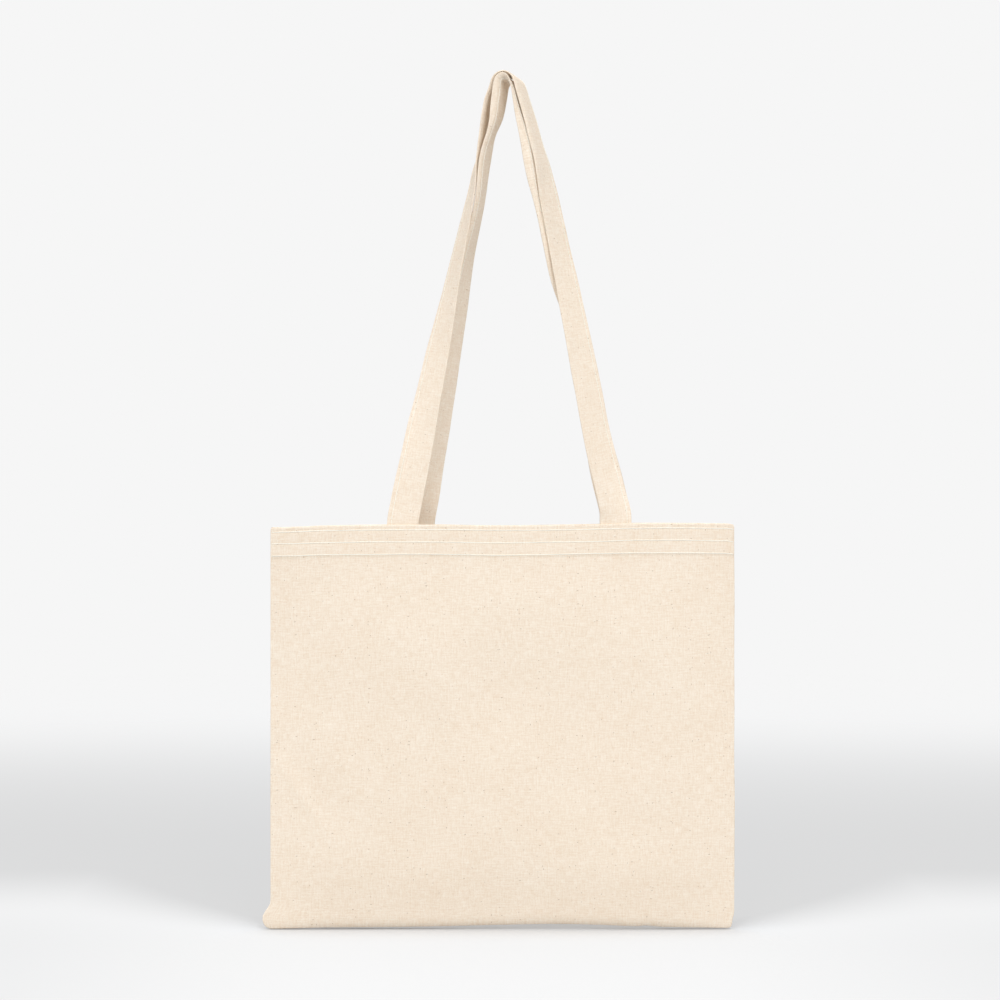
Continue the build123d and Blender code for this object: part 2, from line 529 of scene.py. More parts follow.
@dataclass(frozen=True)
class CanvasFinish(Finish):
    """Unbleached cotton canvas in plain weave, with slubs, seed flecks and soft mottling.

    Lumps are a noise's lumps per metre: for stray and slub, across a thread and along it.
    """

    name: str = "canvas"
    # The darker end of the cloth's random tone, and the colour of the painted shade in the weave's hollows.
    pitch: float = 0.52 * MM
    cloth: tuple = colour(249, 234, 216)
    deep_tone_and_shade: tuple = colour(230, 209, 184)
    pale: tuple = colour(254, 247, 235)
    cloth_share: float = 0.25
    stray: float = 0.9
    stray_lumps: tuple = (700, 90)
    crossing: float = 3.0
    slub: float = 2.4
    slub_lumps: tuple = (850, 110)
    grain: float = 0.9
    grain_lumps: float = 620
    mottle: float = 0.35
    mottle_lumps: float = 24
    # Painted shade in the weave's hollows: how strong it is, and below which weave height it starts.
    hollow: float = 1.1
    hollow_shade_below: float = 0.6
    fleck: tuple = colour(158, 126, 92)
    # Scatterings of seed fibres: cells per metre across and along, and strength; lying, upright and tiny.
    flecks: tuple = ((62.0, 160.0, 0.6), (180.0, 72.0, 0.6), (260.0, 290.0, 0.55))
    fleck_rarity: float = 0.82
    fleck_size: float = 0.06
    fleck_edge: float = 40
    fleck_bend: float = 0.15
    fleck_bend_lumps: float = 300
    weave_height: float = 0.7
    slub_height: float = 0.8
    bump: float = 0.55
    bump_depth: float = 0.22 * MM
    roughness: float = 0.92
    gloss: float = 0.25

    def material(self) -> bpy.types.Material:
        """Makes the canvas.

        The weave is two sets of threads of round section, |sin| across each, that pass over and under by
        turns, the sign of the two sines' product. Long thin noise along either thread gives slubs, and the
        nearest-point distance of three scatterings gives flecks.

        Returns:
            The material.
        """
        made, g, u, v = self.start()

        def lumps(cut: Slice, across: float, along: float, detail: float = 2.0) -> Shade:
            """Noise with so many lumps per metre each way, from a slice of its own."""
            return g.noise(g.vector(u * across, v * along, float(cut)), detail)

        short, long = self.stray_lumps
        stray = self.stray * self.pitch
        stray_u = (lumps(Slice.STRAY_ACROSS, short, long) - 0.5) * stray
        stray_v = (lumps(Slice.STRAY_ALONG, long, short) - 0.5) * stray
        wave_u = ((u + stray_u) * (math.pi / self.pitch)).sine()
        wave_v = ((v + stray_v) * (math.pi / self.pitch)).sine()
        over = (wave_u * wave_v * self.crossing + 0.5).bounded()
        weave = abs(wave_u) * over + abs(wave_v) * (1 - over)
        short, long = self.slub_lumps
        slub_u = lumps(Slice.SLUB_ACROSS, short, long, 3.0)
        slub_v = lumps(Slice.SLUB_ALONG, long, short, 3.0)
        slub = slub_u * over + slub_v * (1 - over)
        grain = lumps(Slice.GRAIN, self.grain_lumps, self.grain_lumps)
        mottle = lumps(Slice.MOTTLE, self.mottle_lumps, self.mottle_lumps, 3.0)
        tone = (slub - 0.5) * self.slub + (grain - 0.5) * self.grain + (mottle - 0.5) * self.mottle
        base = g.mix((tone + 0.5).bounded(), self.deep_tone_and_shade, self.pale)
        base = g.mix(self.cloth_share, base, self.cloth)
        # Painted shade: where the weave is low, in the hollows between threads, the colour goes towards the
        # deep colour.
        base = g.mix(((self.hollow_shade_below - weave) * self.hollow).bounded(), base, self.deep_tone_and_shade)
        bend = lumps(Slice.FLECK_BEND, self.fleck_bend_lumps, self.fleck_bend_lumps, 1.0)
        bend = (bend - 0.5) * self.fleck_bend
        for across, along, strength in self.flecks:
            place = g.vector(u * across + bend, v * along - bend, across)
            spots = g.node("ShaderNodeTexVoronoi", {"voronoi_dimensions": "2D"}, Vector=place, Scale=1.0)
            rare = g.out(g.node("ShaderNodeSeparateColor", Color=g.out(spots, "Color")), "Red")
            spot = ((rare * self.fleck_size - g.out(spots, "Distance")) * self.fleck_edge).bounded()
            base = g.mix(spot * (rare > self.fleck_rarity) * strength, base, self.fleck)
        height = weave * self.weave_height + slub * self.slub_height
        self.end(g, base, height, Specular_IOR_Level=self.gloss)
        return made


@dataclass(frozen=True)
class ThreadFinish(Finish):
    """Two-ply cotton sewing thread, a little paler than the cloth."""

    name: str = "thread"
    light: tuple = colour(255, 254, 246)
    # The darker end of the thread's random fuzz, and the colour of the painted shade in the grooves between
    # its plies.
    dark_and_groove_shade: tuple = colour(247, 240, 225)
    ply: float = 0.7 * MM
    # How much of the colour is painted groove shade from the twist; the fuzz share is random tone.
    ply_groove_shade: float = 0.6
    fuzz_share: float = 0.5
    fuzz_lumps: tuple = (3000, 900)
    bump: float = 0.5
    bump_depth: float = 0.1 * MM
    roughness: float = 0.75

    def material(self) -> bpy.types.Material:
        """Makes the thread: its ply runs round it on a slant, a sine of the places along and round added up.

        Returns:
            The material.
        """
        made, g, round_it, along = self.start()
        twist = ((round_it + along) * (2 * math.pi / self.ply)).sine() * 0.5 + 0.5
        across_lumps, along_lumps = self.fuzz_lumps
        fuzz = g.noise(g.vector(round_it * across_lumps, along * along_lumps))
        # Painted shade: darker in the grooves between the plies, where the twist's bump is low; the fuzz adds
        # random tone.
        tone = (twist * self.ply_groove_shade + fuzz * self.fuzz_share).bounded()
        self.end(g, g.mix(tone, self.dark_and_groove_shade, self.light), twist)
        return made


# The bag


@dataclass(frozen=True)
class BagSizes:
    """Sizes of the canvas body, in metres, as in the CAD part; the outline's come from its front panel."""

    half_width: float = round(PANEL_HIGH.x, 6)
    height: float = round(PANEL_HIGH.z - PANEL_LOW.z, 6)
    mouth: float = round(PANEL_HIGH.z, 6)
    mouth_half: float = 15 * MM
    straight_half: float = 120 * MM
    bottom_fullness: float = 0.2 * MM
    canvas: float = 0.7 * MM
    allowance: float = 10 * MM
    seam_half: float = 1.9 * MM
    hem: float = 27 * MM
    hem_swell: float = 0.6 * MM
    hem_rows: tuple = (("top", 4.3 * MM), ("middle", 14.7 * MM), ("lower", 25.5 * MM))
    seam_row: float = 2.1 * MM
    seam_top: float = 1.5 * MM
    overlock: float = 4 * MM
    strap_depth: float = 3.2 * MM

    @property
    def bottom(self) -> float:
        """Height of the bottom edge."""
        return self.mouth - self.height


@dataclass
class Drape:
    """How the sewn bag hangs: the wander of its edges and the shallow folds of its cloth.

    Shares are of the way up from the bottom edge to the mouth.
    """

    sizes: BagSizes = field(default_factory=BagSizes)
    # Along the mouth and the bottom, in millimetres: place across the bag, and rise.
    mouth_rise: Stations = (
        (-200, -2.8), (-184, -2.5), (-150, -1.2), (-72, -0.3), (-4, -1.2), (70, -0.2), (122, 1.0),
        (192, 0.6), (200, -0.6),
    )
    bottom_rise: Stations = (
        (-200, 0.2), (-182, 0.6), (-155, 1.5), (-105, 1.8), (-54, 2.5), (-2, 3.7), (50, 4.6), (84, 4.0),
        (117, 2.8), (122, 3.5), (136, 2.3), (170, 1.5), (200, 0.9),
    )
    mouth_power: float = 1.5
    bottom_power: float = 5
    # The bottom corners: the left one splays, the right one tucks in, and both are round.
    flare: float = 7.0 * MM
    flare_height: float = 24 * MM
    flare_ease: float = 14.4 * MM
    flare_reach: float = 45 * MM
    tuck: float = 1.8 * MM
    tuck_height: float = 14 * MM
    tuck_ease: float = 8 * MM
    tuck_reach: float = 20 * MM
    corner_left: float = 9 * MM
    corner_right: float = 5 * MM
    # The side edges.
    stretch: float = 1.002
    wander: float = 0.5 * MM
    wander_reach: float = 50 * MM
    # Fullness beyond the plain wedge: rolled under at the bottom, swollen above that and below the mouth.
    roll: float = 3.0 * MM
    roll_height: float = 9 * MM
    belly: float = 3.0 * MM
    belly_full: float = 0.18
    belly_gone: float = 0.9
    crown: float = 2.4 * MM
    crown_drop: float = 100 * MM
    crown_spread: float = 62 * MM
    # The sway of both panels together, and the folds of each, calmed towards the mouth and the seams.
    sway: float = 1.6 * MM
    sway_calm: float = 0.75
    sway_calm_from: float = 0.5
    fold: float = 1.1 * MM
    fold_inset: float = 60 * MM
    fold_full: float = 0.35
    fold_calm: float = 0.7
    fold_calm_from: float = 0.8
    fold_calm_over: float = 0.15
    # The hem: its step below, its puckers, and the pull of each row of stitches.
    hem_lip: float = 0.5 * MM
    hem_step: float = 1.3 * MM
    pucker: float = 0.14 * MM
    pucker_drop: float = 55 * MM
    pucker_ease: float = 40 * MM
    pucker_below: float = 0.45
    row_pull: float = 0.24 * MM
    row_width: float = 1.3 * MM
    # The crease low on the left of the front: its ends, its ridge and its hollow by rise and half width, the
    # gap between those, and how it fades past its ends, in shares of its length.
    crease_start: tuple = (-196 * MM, -588 * MM)
    crease_end: tuple = (-148 * MM, -655 * MM)
    crease_ridge: tuple = (0.55 * MM, 5 * MM)
    crease_hollow: tuple = (0.9 * MM, 15 * MM)
    crease_gap: float = 17 * MM
    crease_overrun: float = 0.25
    crease_in: float = 0.35
    crease_out: float = 0.45
    # Reliefs: a seed, and a lump's size across and up; folds and puckers have the front's, then the back's.
    sway_cells: tuple = (11, 95 * MM, 120 * MM)
    fold_cells: tuple = ((21, 60 * MM, 75 * MM), (22, 66 * MM, 80 * MM))
    pucker_cells: tuple = ((31, 7 * MM, 16 * MM), (32, 7 * MM, 16 * MM))
    wander_cells: tuple = (41, 450 * MM, 45 * MM)

    def __post_init__(self) -> None:
        """Draws the relief of both panels and of each."""
        self.sways = Ripple(*self.sway_cells)
        self.folds = {face: Ripple(*cells) for face, cells in zip(Face, self.fold_cells)}
        self.puckers = {face: Ripple(*cells) for face, cells in zip(Face, self.pucker_cells)}
        self.edge_wander = Ripple(*self.wander_cells)

    def up_share(self, z: np.ndarray) -> np.ndarray:
        """0 at the bottom edge and 1 at the mouth."""
        return np.clip((z - self.sizes.bottom) / self.sizes.height, 0, 1)

    def half_depth(self, x: np.ndarray, z: np.ndarray) -> np.ndarray:
        """Outside face's distance from the bag's middle plane.

        Straight in the middle of the bag, then falling as a parabola to the side seams. Fullest at the
        mouth, with a slight swell below it and another above the bottom, where the cloth rolls under.

        Args:
            x: places across.
            z: heights.

        Returns:
            The distances.
        """
        s = self.sizes
        out = np.clip((np.abs(x) - s.straight_half) / (s.half_width - s.straight_half), 0, 1)
        up = self.up_share(z)
        full = s.bottom_fullness + (s.mouth_half - s.seam_half - s.bottom_fullness) * up
        under = 1 - np.clip((z - s.bottom) / self.roll_height, 0, 1)
        swell = self.roll * np.sqrt(1 - under**2) + self.belly * ease(up / self.belly_full)
        belly = swell * (1 - ease(up / self.belly_gone))
        crown = self.crown * ridge(s.mouth - z - self.crown_drop, self.crown_spread)
        return s.seam_half + (full + belly + crown) * (1 - out * out)

    def common(self, x: np.ndarray, z: np.ndarray) -> np.ndarray:
        """How far both panels and their seams wander together along Y."""
        near_mouth = ease((self.up_share(z) - self.sway_calm_from) / (1 - self.sway_calm_from))
        return self.sway * self.sways.at(x, z) * (1 - self.sway_calm * near_mouth)

    def relief(self, x: np.ndarray, z: np.ndarray, face: Face) -> np.ndarray:
        """How far a panel's outside face stands out beyond its plain form.

        Shallow folds fade at the seams; the hem stands proud, is pulled in along its stitch rows and puckers
        between.

        Args:
            x: places across.
            z: heights.
            face: the panel.

        Returns:
            The distances.
        """
        s = self.sizes
        up = self.up_share(z)
        drop = s.mouth - z
        side = ease((s.half_width - np.abs(x)) / self.fold_inset)
        calm = self.fold_calm * ease((up - self.fold_calm_from) / self.fold_calm_over)
        out = self.fold * self.folds[face].at(x, z) * side * ease(up / self.fold_full) * (1 - calm)
        hem = ease((s.hem + self.hem_lip - drop) / self.hem_step)
        out = out + s.hem_swell * hem
        near = ease((self.pucker_drop - drop) / self.pucker_ease)
        strength = self.pucker_below + (1 - self.pucker_below) * hem
        out = out + self.pucker * self.puckers[face].at(x, z) * near * strength
        for _, row in s.hem_rows:
            out = out - self.row_pull * ridge(drop - row, self.row_width)
        if face is Face.FRONT:
            out = out + self.crease(x, z)
        return out

    def crease(self, x: np.ndarray, z: np.ndarray) -> np.ndarray:
        """Soft slanting crease low on the left of the front: a narrow ridge beside a wider hollow.

        Args:
            x: places across.
            z: heights.

        Returns:
            How far it stands out, less than nothing in the hollow.
        """
        start = np.array(self.crease_start)
        run = np.array(self.crease_end) - start
        length = np.hypot(*run)
        way = run / length
        along = ((x - start[0]) * way[0] + (z - start[1]) * way[1]) / length
        off = -(x - start[0]) * way[1] + (z - start[1]) * way[0]
        fade = ease((along + self.crease_overrun) / self.crease_in)
        fade = fade * ease((1 + self.crease_overrun - along) / self.crease_out)
        rise, rise_width = self.crease_ridge
        dip, dip_width = self.crease_hollow
        return fade * (rise * ridge(off, rise_width) - dip * ridge(off - self.crease_gap, dip_width))

    def warp(self, x: np.ndarray, z: np.ndarray) -> tuple[np.ndarray, np.ndarray]:
        """Moves places on the plain outline to the hanging bag's own outline.

        The mouth's edge and the bottom edge rise and fall, the bottom left corner splays, the right one
        tucks in, and a square-to-disc map rounds both.

        Args:
            x: places across.
            z: heights.

        Returns:
            The moved places and heights.
        """
        s = self.sizes
        for side, radius in ((Side.LEFT, self.corner_left), (Side.RIGHT, self.corner_right)):
            a = np.clip((radius - (s.half_width - side.value * x)) / radius, 0, 1)
            b = np.clip((radius - (z - s.bottom)) / radius, 0, 1)
            x = x - side.value * radius * a * (1 - np.sqrt(1 - b * b / 2))
            z = z + radius * b * (1 - np.sqrt(1 - a * a / 2))
        up, above = self.up_share(z), z - s.bottom
        top = through(x / MM, self.mouth_rise) * MM * up**self.mouth_power
        foot = through(x / MM, self.bottom_rise) * MM * (1 - up) ** self.bottom_power
        splay = self.flare * ease((self.flare_height - above) / self.flare_ease)
        splay = splay * ease(1 - (x + s.half_width) / self.flare_reach)
        tuck = self.tuck * ease((self.tuck_height - above) / self.tuck_ease)
        tuck = tuck * ease(1 - (s.half_width - x) / self.tuck_reach)
        edge = ease(1 - (s.half_width - np.abs(x)) / self.wander_reach)
        edge = edge * self.wander * self.edge_wander.at(x, z)
        return self.stretch * x - splay - tuck + edge, z + top + foot

    def lay(
        self, x: np.ndarray, z: np.ndarray, face: Face, depth: float | np.ndarray, inside: float | np.ndarray
    ) -> np.ndarray:
        """Places points of the bag.

        Args:
            x: places across the plain outline.
            z: heights on the plain outline.
            face: the panel they belong to.
            depth: distances in behind the panel's outside face.
            inside: 0 at that depth and 1 against the bag's middle plane, by a canvas half thickness.

        Returns:
            The points.
        """
        x, z, depth, inside = np.broadcast_arrays(x, z, depth, inside)
        outer = self.half_depth(x, z) + self.relief(x, z, face) - depth
        y = face.value * (outer * (1 - inside) + 0.5 * self.sizes.canvas * inside) + self.common(x, z)
        moved_x, moved_z = self.warp(x, z)
        return np.stack([moved_x, y, moved_z], axis=-1)


class Run(IntEnum):
    """The parts of a panel's sheet, from its turned-under edge over the mouth to the bottom allowance."""

    UNDER = 0
    LOW_FOLD = 1
    INSIDE = 2
    MOUTH_FOLD = 3
    HEM = 4
    BODY = 5
    BOTTOM_FOLD = 6
    BOTTOM_FLAP = 7


class Strip(IntEnum):
    """The parts of a panel's sheet across, from either side edge to the middle."""

    FLAP = 0
    FOLD = 1
    PANEL = 2


@dataclass
class Panel:
    """One panel of canvas: a single cut sheet, its hem turned in twice and its seam allowances folded in."""

    face: Face
    drape: Drape
    across_step: float = 1.8 * MM
    under_step: float = 5 * MM
    inside_step: float = 2 * MM
    hem_step: float = 0.9 * MM
    hem_overrun: float = 4 * MM
    down_step: float = 3.5 * MM
    tucked_under: float = 6 * MM
    hem_clear: float = 1 * MM
    flap_clear: float = 0.5 * MM
    cloth_thickness: float = 0.62 * MM
    fold_points: int = 7
    flap_points: int = 4

    def down(self) -> tuple[np.ndarray, ...]:
        """The sheet's line from its turned-under edge over the mouth to the bottom allowance.

        Straight layers joined by half circles: under, up the inside, over the mouth, down the outside, and
        in at the bottom.

        Returns:
            Height, depth behind the outside face, share towards the middle plane, and the run.
        """
        s = self.drape.sizes
        c = s.canvas
        half = np.linspace(0, math.pi, self.fold_points)[:-1]
        low = s.mouth - s.hem + 0.5 * c
        high = s.mouth - 1.5 * c
        radius = (s.seam_half + s.bottom_fullness - c) / 2
        turn = s.bottom + 0.5 * c + radius
        hem_end = s.mouth - s.hem - self.hem_overrun

        def heights(start: float, end: float, step: float) -> np.ndarray:
            """Heights from start to end, without the end."""
            return np.linspace(start, end, max(2, round(abs(end - start) / step)), endpoint=False)

        runs = {
            Run.UNDER: (heights(s.mouth - self.tucked_under, low, self.under_step), 1.5 * c, 0),
            Run.LOW_FOLD: (low - 0.5 * c * np.sin(half), 2 * c - 0.5 * c * np.cos(half), 0),
            Run.INSIDE: (heights(low, high, self.inside_step), 2.5 * c, 0),
            Run.MOUTH_FOLD: (high + c * np.sin(half), 1.5 * c + c * np.cos(half), 0),
            Run.HEM: (heights(high, hem_end, self.hem_step), 0.5 * c, 0),
            Run.BODY: (heights(hem_end, turn, self.down_step), 0.5 * c, 0),
            Run.BOTTOM_FOLD: (turn - radius * np.sin(half), 0.5 * c, (1 - np.cos(half)) / 2),
            Run.BOTTOM_FLAP: (np.linspace(turn, s.bottom + s.allowance, self.flap_points), 0.5 * c, 1),
        }
        parts = [np.stack(np.broadcast_arrays(*values, run)) for run, values in runs.items()]
        return tuple(np.concatenate(parts, axis=1))

    def across(self) -> tuple[np.ndarray, np.ndarray, np.ndarray]:
        """The sheet's line across: in along one allowance, out round the side fold, over, and in again.

        Returns:
            Place across, share towards the middle plane, and the strip.
        """
        s = self.drape.sizes
        radius = (s.seam_half - s.canvas) / 2
        centre = s.half_width - 0.5 * s.canvas - radius
        half = np.linspace(math.pi, 0, self.fold_points)[:-1]
        flap = np.linspace(s.half_width - s.allowance, centre, self.flap_points)[:-1]
        middle = np.linspace(-centre, centre, round(2 * centre / self.across_step))
        strips = {
            Strip.FLAP: (-flap, 1),
            Strip.FOLD: (-centre - radius * np.sin(half), (1 - np.cos(half)) / 2),
        }
        left = [np.stack(np.broadcast_arrays(*values, strip)) for strip, values in strips.items()]
        left = np.concatenate(left, axis=1)
        over = np.stack(np.broadcast_arrays(middle, 0, Strip.PANEL))
        right = left[:, ::-1] * np.array([[-1], [1], [1]])
        return tuple(np.concatenate([left, over, right], axis=1))

    def kept(self) -> np.ndarray:
        """Which quads of the sheet are cloth.

        The hem's inner layers stop short of the side folds, the side allowances run only between the mouth
        and the bottom allowance, and the bottom corners are cut where the two folds meet.

        Returns:
            One answer for each quad.
        """
        s = self.drape.sizes
        z, _, inside_z, run = self.down()
        x, inside_x, strip = self.across()
        run, low, inside_z = run[:-1, None], z[1:, None], inside_z[:-1, None]
        strip, inside_x = np.minimum(strip[:-1], strip[1:])[None, :], inside_x[None, :-1]
        reach = np.maximum(np.abs(x[:-1]), np.abs(x[1:]))[None, :]
        flap = s.half_width - s.allowance
        upper = (run >= Run.HEM) & (run <= Run.BODY) & (low > s.bottom + s.allowance)
        keep = (run > Run.INSIDE) | (reach < flap + self.hem_clear)
        keep = keep & ((run != Run.MOUTH_FOLD) | (strip == Strip.PANEL))
        keep = keep & ((strip != Strip.FLAP) | upper)
        keep = keep & ((run != Run.BOTTOM_FLAP) | (reach < flap - self.flap_clear))
        corner = (run == Run.BOTTOM_FOLD) & (strip != Strip.PANEL)
        return keep & (~corner | (np.minimum(inside_z, inside_x) < 0.5))

    def build(self, canvas: bpy.types.Material) -> bpy.types.Object:
        """Makes the panel's sheet and gives it its thickness.

        Args:
            canvas: the cloth.

        Returns:
            The panel.
        """
        z, depth, inside_z, _ = self.down()
        x, inside_x, _ = self.across()
        inside = np.maximum(inside_z[:, None], inside_x[None, :])
        points = self.drape.lay(x[None, :], z[:, None], self.face, depth[:, None], inside)
        u, t = lengths(x), lengths(z, depth)
        name = f"{self.face.word}_canvas"
        panel = surface(name, points, chart(u, t), keep=self.kept(), flip=self.face is Face.BACK)
        thick = panel.modifiers.new("cloth", "SOLIDIFY")
        thick.thickness = self.cloth_thickness
        thick.offset = 0.0
        dressed(panel, canvas, [f"{self.face.word}_panel"])
        other = Face(-self.face.value)
        return panel


@dataclass(frozen=True)
class Sewing:
    """Lockstitch thread along a line: it runs over the face and dips into the cloth at each needle hole."""

    stitch: float = 2.8 * MM
    samples: int = 8
    rise: float = 0.3 * MM
    dip: float = 0.6 * MM
    sharpness: float = 6

    def lift(self, along: np.ndarray) -> np.ndarray:
        """How far the thread's middle stands off the face: a flat-topped arch over each stitch."""
        return self.rise - self.dip * np.abs(np.cos(math.pi * along / self.stitch)) ** self.sharpness

    def places(self, start: float, end: float) -> np.ndarray:
        """Places along a run, several to each stitch."""
        return np.linspace(start, end, round(abs(end - start) / self.stitch) * self.samples + 1)


@dataclass
class Seams:
    """Seam stitching and overlocking of the turned-in allowances, down both sides and along the bottom."""

    drape: Drape
    sewing: Sewing = Sewing(rise=0.08 * MM, dip=0.2 * MM)
    thread: float = 0.13 * MM
    overlock_pitch: float = 2.4 * MM
    overlock_samples: int = 14
    overlock_sides: int = 5
    overlock_flatness: float = 2.2

    def row(self, start: float, end: float, fixed: float, upright: bool) -> list[np.ndarray]:
        """A row of stitches on both faces of the paired allowances.

        Args:
            start: where the row starts along its run.
            end: where it ends.
            fixed: the run's place across, or its height.
            upright: whether the run is up a side.

        Returns:
            The two threads' lines.
        """
        along = self.sewing.places(start, end)
        off = self.drape.sizes.canvas + self.sewing.lift(along)
        return [self.place(along, np.full_like(along, fixed), side * off, upright) for side in (-1, 1)]

    def place(self, along: np.ndarray, fixed: np.ndarray, y: np.ndarray, upright: bool) -> np.ndarray:
        """Points beside the bag's middle plane.

        Args:
            along: places along a run.
            fixed: the run's places across, or its heights.
            y: distances from the middle plane.
            upright: whether the run is up a side.

        Returns:
            The points.
        """
        x, z = (fixed, along) if upright else (along, fixed)
        moved_x, moved_z = self.drape.warp(x, z)
        return np.stack([moved_x, y + self.drape.common(x, z), moved_z], axis=-1)

    def overlock(self, start: float, end: float, raw: float, inward: float, upright: bool) -> np.ndarray:
        """Thread wound round the allowances' raw edges as a flattened coil.

        Once round the edge per stitch: in from the edge by a raised cosine, and from face to face by a sine
        with its tops flattened.

        Args:
            start: where the coil starts along the edge.
            end: where it ends.
            raw: the raw edge's place across, or its height.
            inward: which way the cloth lies from the raw edge.
            upright: whether the edge is up a side.

        Returns:
            The thread's line.
        """
        s, flat = self.drape.sizes, self.overlock_flatness
        turns = round(abs(end - start) / self.overlock_pitch)
        angle = np.linspace(0, 2 * math.pi * turns, turns * self.overlock_samples + 1)
        along = start + (end - start) * angle / angle[-1]
        from_edge = raw + inward * (0.5 * s.overlock * (1 - np.cos(angle)) - self.thread)
        y = (s.canvas + self.thread) * np.tanh(flat * np.sin(angle)) / math.tanh(flat)
        return self.place(along, from_edge, y, upright)

    def build(self, thread: bpy.types.Material) -> list[bpy.types.Object]:
        """Makes the stitching and overlocking of all three seams.

        Args:
            thread: the thread's material.

        Returns:
            The threads.
        """
        s = self.drape.sizes
        raw_x, raw_z = s.half_width - s.allowance, s.bottom + s.allowance
        top = s.mouth - s.seam_top
        across, out, up = np.eye(3)
        runs = []
        for side in Side:
            row = self.row(raw_z, top, side.value * (s.half_width - s.seam_row), True)
            coil = self.overlock(raw_z + s.overlock, top, side.value * raw_x, side.value, True)
            runs.append((f"{side.word}_seam", row, coil, up))
        row = self.row(-raw_x, raw_x, s.bottom + s.seam_row, False)
        coil = self.overlock(s.overlock - raw_x, raw_x - s.overlock, raw_z, -1, False)
        runs.append(("bottom_seam", row, coil, across))
        made = []
        for seam, row, coil, along in runs:
            stitches = tube(f"{seam}_thread", row, self.thread, [-out, out])
            made.append(dressed(stitches, thread, [f"{seam}_stitching"]))
            sides = self.overlock_sides
            binding = tube(f"{seam}_overlock_thread", [coil], self.thread, [along], sides=sides)
            made.append(dressed(binding, thread, [f"{seam}_overlock"]))
        return made


# The handles


@dataclass(frozen=True)
class Leg:
    """One leg of a handle, from its foot behind the hem to the bend over the hang point.

    Stations go by height above the mouth in millimetres. Bends are how far the leg stands off its straight
    line, outwards along the mouth and back, in millimetres. Turns are the strap's width from square across
    the bag, seen from above, in degrees. Curls are how far the strap's middle stands in towards the loop
    beyond its edges, in millimetres, and negative where it stands away from it.
    """

    side: Side
    foot: float
    foot_rise: float
    bends: Stations
    turns: Stations
    curls: Stations


@dataclass(frozen=True)
class Loop:
    """The bend of a handle over the hang point: an arc in an upright plane, yawed about the vertical."""

    x: float
    y: float
    top: float
    radius: float
    yaw: float
    tilt: float
    turn: float
    curl: float

    @property
    def centre_z(self) -> float:
        """Height of the arc's centre."""
        return self.top - self.radius

    def level(self, x: float) -> float:
        """Distance from the arc's centre, along its plane, of a place across the bag."""
        return (x - self.x) / math.cos(math.radians(self.yaw))

    def angle(self, point: np.ndarray) -> float:
        """Angle of a point about the arc's centre, up from level."""
        return math.atan2(point[2] - self.centre_z, self.level(point[0]))

    def at(self, angle: float | np.ndarray) -> np.ndarray:
        """Points of the arc.

        Args:
            angle: angles about its centre, up from level.

        Returns:
            The points.
        """
        level, yaw = self.radius * np.cos(angle), math.radians(self.yaw)
        height = self.centre_z + self.radius * np.sin(angle)
        return np.stack([self.x + level * math.cos(yaw), self.y - level * math.sin(yaw), height], axis=-1)


@dataclass(frozen=True)
class Course:
    """The way a strap runs: its middle line, width directions, distances along and curls, one row a step."""

    line: np.ndarray
    across: np.ndarray
    along: np.ndarray
    curl: np.ndarray

    def over(self) -> np.ndarray:
        """Directions off the strap's face, square to its line and its width."""
        return unit(np.cross(unit(np.gradient(self.line, axis=0)), self.across))

    def finer(self, at: np.ndarray) -> "Course":
        """The same course read at other distances along."""
        line, across = read(at, self.along, self.line), unit(read(at, self.along, self.across))
        return Course(line, across, at, np.interp(at, self.along, self.curl))


